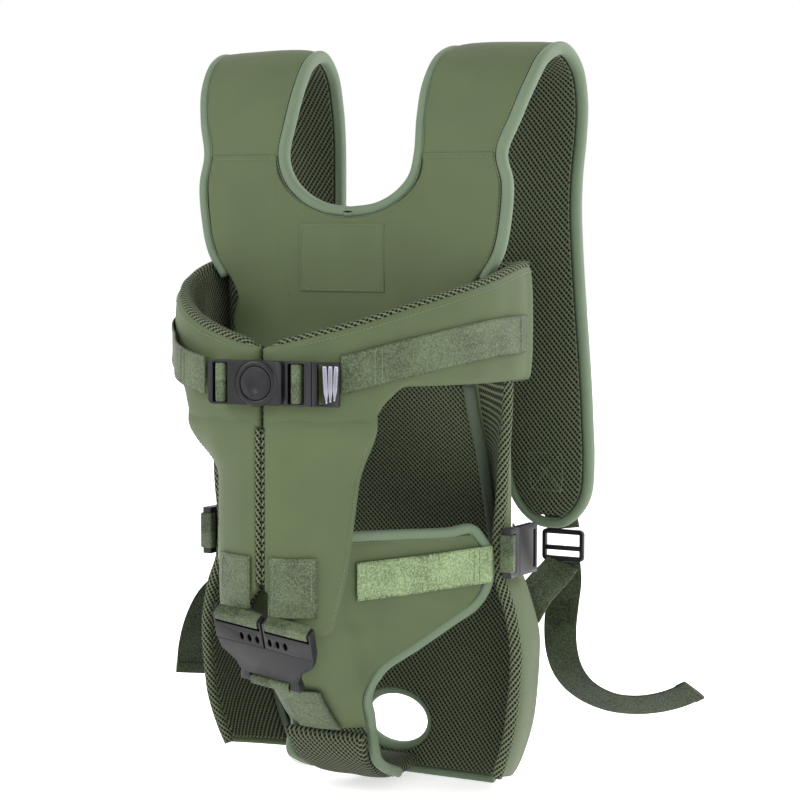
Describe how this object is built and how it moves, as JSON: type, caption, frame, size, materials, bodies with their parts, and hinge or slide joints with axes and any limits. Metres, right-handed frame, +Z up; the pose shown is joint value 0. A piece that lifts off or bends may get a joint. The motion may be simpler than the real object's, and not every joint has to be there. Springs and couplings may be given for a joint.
{
  "type": "pet carrier vest",
  "caption": "Front-carried pet carrier vest with padded shoulder straps, padded buckled collar, chest flaps, leg openings and a buckled crotch panel.",
  "frame": {"origin": "between the tops of the two shoulder straps, level with their upper faces, where the wearer's shoulders carry the vest", "axes": "+Z up, -Y the front with the pet's side, +X the viewer's right as seen from the front"},
  "size_m": [0.4451, 0.3617, 0.6167],
  "materials": {
    "cover": "smooth woven nylon, olive green",
    "mesh": "open spacer mesh, dark olive",
    "binding": "ribbed bias tape, light green",
    "webbing": "glossy woven webbing, green",
    "plastic": "moulded, satin black"
  },
  "bodies": {
    "vest": {"back_panel": "cover", "chest_patch": "cover", "shoulder_strap_left": "cover", "shoulder_strap_right": "cover", "collar_left": "cover", "collar_right": "cover", "chest_flap_left": "cover", "chest_flap_right": "cover", "side_wall_left": "cover", "side_wall_right": "cover", "crotch_panel": "cover", "back_lining": "mesh", "strap_lining_left": "mesh", "strap_lining_right": "mesh", "flap_lining_left": "mesh", "flap_lining_right": "mesh", "side_lining_left": "mesh", "side_lining_right": "mesh", "crotch_roll": "mesh", "tail_hole_binding": "binding", "hem_binding": "binding", "strap_binding_left": "binding", "strap_binding_right": "binding", "crotch_binding_left": "binding", "crotch_binding_right": "binding", "collar_webbing_left": "webbing", "collar_webbing_right": "webbing", "flap_tab_left": "webbing", "flap_tab_right": "webbing", "wing_webbing_left": "webbing", "wing_webbing_right": "webbing", "crotch_tab": "webbing", "strap_webbing_left": "webbing", "strap_webbing_right": "webbing", "lock_anchor_left": "webbing", "lock_anchor_right": "webbing", "strap_tail_left": "webbing", "strap_tail_right": "webbing", "buckle_loop_left": "webbing", "tab_loop_low": "webbing", "clip_anchor_left": "webbing", "clip_anchor_right": "webbing", "buckle_housing": "plastic", "three_way_housing": "plastic", "side_clip_socket_left": "plastic", "side_clip_socket_right": "plastic"},
    "button": {"buckle_button": "plastic"},
    "tongue": {"buckle_tongue": "plastic", "buckle_loop_right": "webbing"},
    "prong_left": {"three_way_prong_left": "plastic", "tab_loop_left": "webbing"},
    "prong_right": {"three_way_prong_right": "plastic", "tab_loop_right": "webbing"},
    "plug_left": {"side_clip_plug_left": "plastic", "clip_loop_left": "webbing"},
    "plug_right": {"side_clip_plug_right": "plastic", "clip_loop_right": "webbing"},
    "lock_left": {"ladder_lock_left": "plastic"},
    "lock_right": {"ladder_lock_right": "plastic"}
  },
  "joints": [
    {"name": "button_press", "type": "slide", "parent": "vest", "child": "button", "axis": [-0.0698, 0.9976, 0], "range_m": [0, 0.0025], "stiffness_N_per_m": 900},
    {"name": "tongue_pull", "type": "slide", "parent": "vest", "child": "tongue", "axis": [0.9976, 0.0698, 0], "range_m": [0, 0.03]},
    {"name": "prong_left_pull", "type": "slide", "parent": "vest", "child": "prong_left", "axis": [0.1908, -0.5202, 0.8325], "range_m": [0, 0.024]},
    {"name": "prong_right_pull", "type": "slide", "parent": "vest", "child": "prong_right", "axis": [0.1908, -0.5202, 0.8325], "range_m": [0, 0.024]},
    {"name": "plug_left_pull", "type": "slide", "parent": "vest", "child": "plug_left", "axis": [0, -1, 0], "range_m": [0, 0.024]},
    {"name": "plug_right_pull", "type": "slide", "parent": "vest", "child": "plug_right", "axis": [0, -1, 0], "range_m": [0, 0.024]},
    {"name": "lock_left_tilt", "type": "hinge", "parent": "vest", "child": "lock_left", "pos_m": [-0.133, 0.114, -0.4255], "axis": [-1, 0, 0], "range_deg": [0, 35]},
    {"name": "lock_right_tilt", "type": "hinge", "parent": "vest", "child": "lock_right", "pos_m": [0.133, 0.114, -0.4255], "axis": [-1, 0, 0], "range_deg": [0, 35]}
  ]
}
